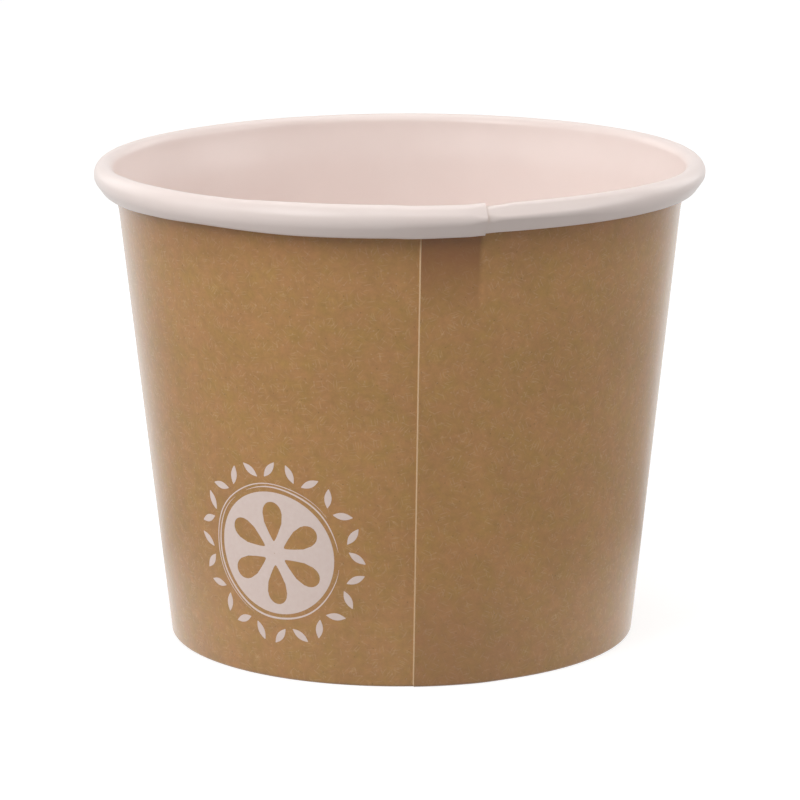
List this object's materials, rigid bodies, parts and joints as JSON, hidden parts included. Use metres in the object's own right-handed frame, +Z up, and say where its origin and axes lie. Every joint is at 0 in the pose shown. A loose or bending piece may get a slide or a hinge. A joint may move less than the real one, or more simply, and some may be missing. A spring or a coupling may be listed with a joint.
{
  "type": "paper ice cream cup",
  "caption": "Small tapered paper cup for ice cream, brown outside and white inside, with a rolled rim, a lapped side seam and a recessed round bottom.",
  "frame": {"origin": "on the table, at the middle of the foot", "axes": "+Z up out of the mouth, along the cup's axis; the front, with the side seam just right of its middle, faces -Y"},
  "size_m": [0.076, 0.076, 0.0603],
  "materials": {
    "kraft_board": "brown kraft paperboard, satin outside, coated white inside and on the rim",
    "white_board": "white coated paperboard, smooth satin"
  },
  "bodies": {
    "root": {"side_wall": "kraft_board", "bottom_disc": "white_board"}
  },
  "joints": []
}
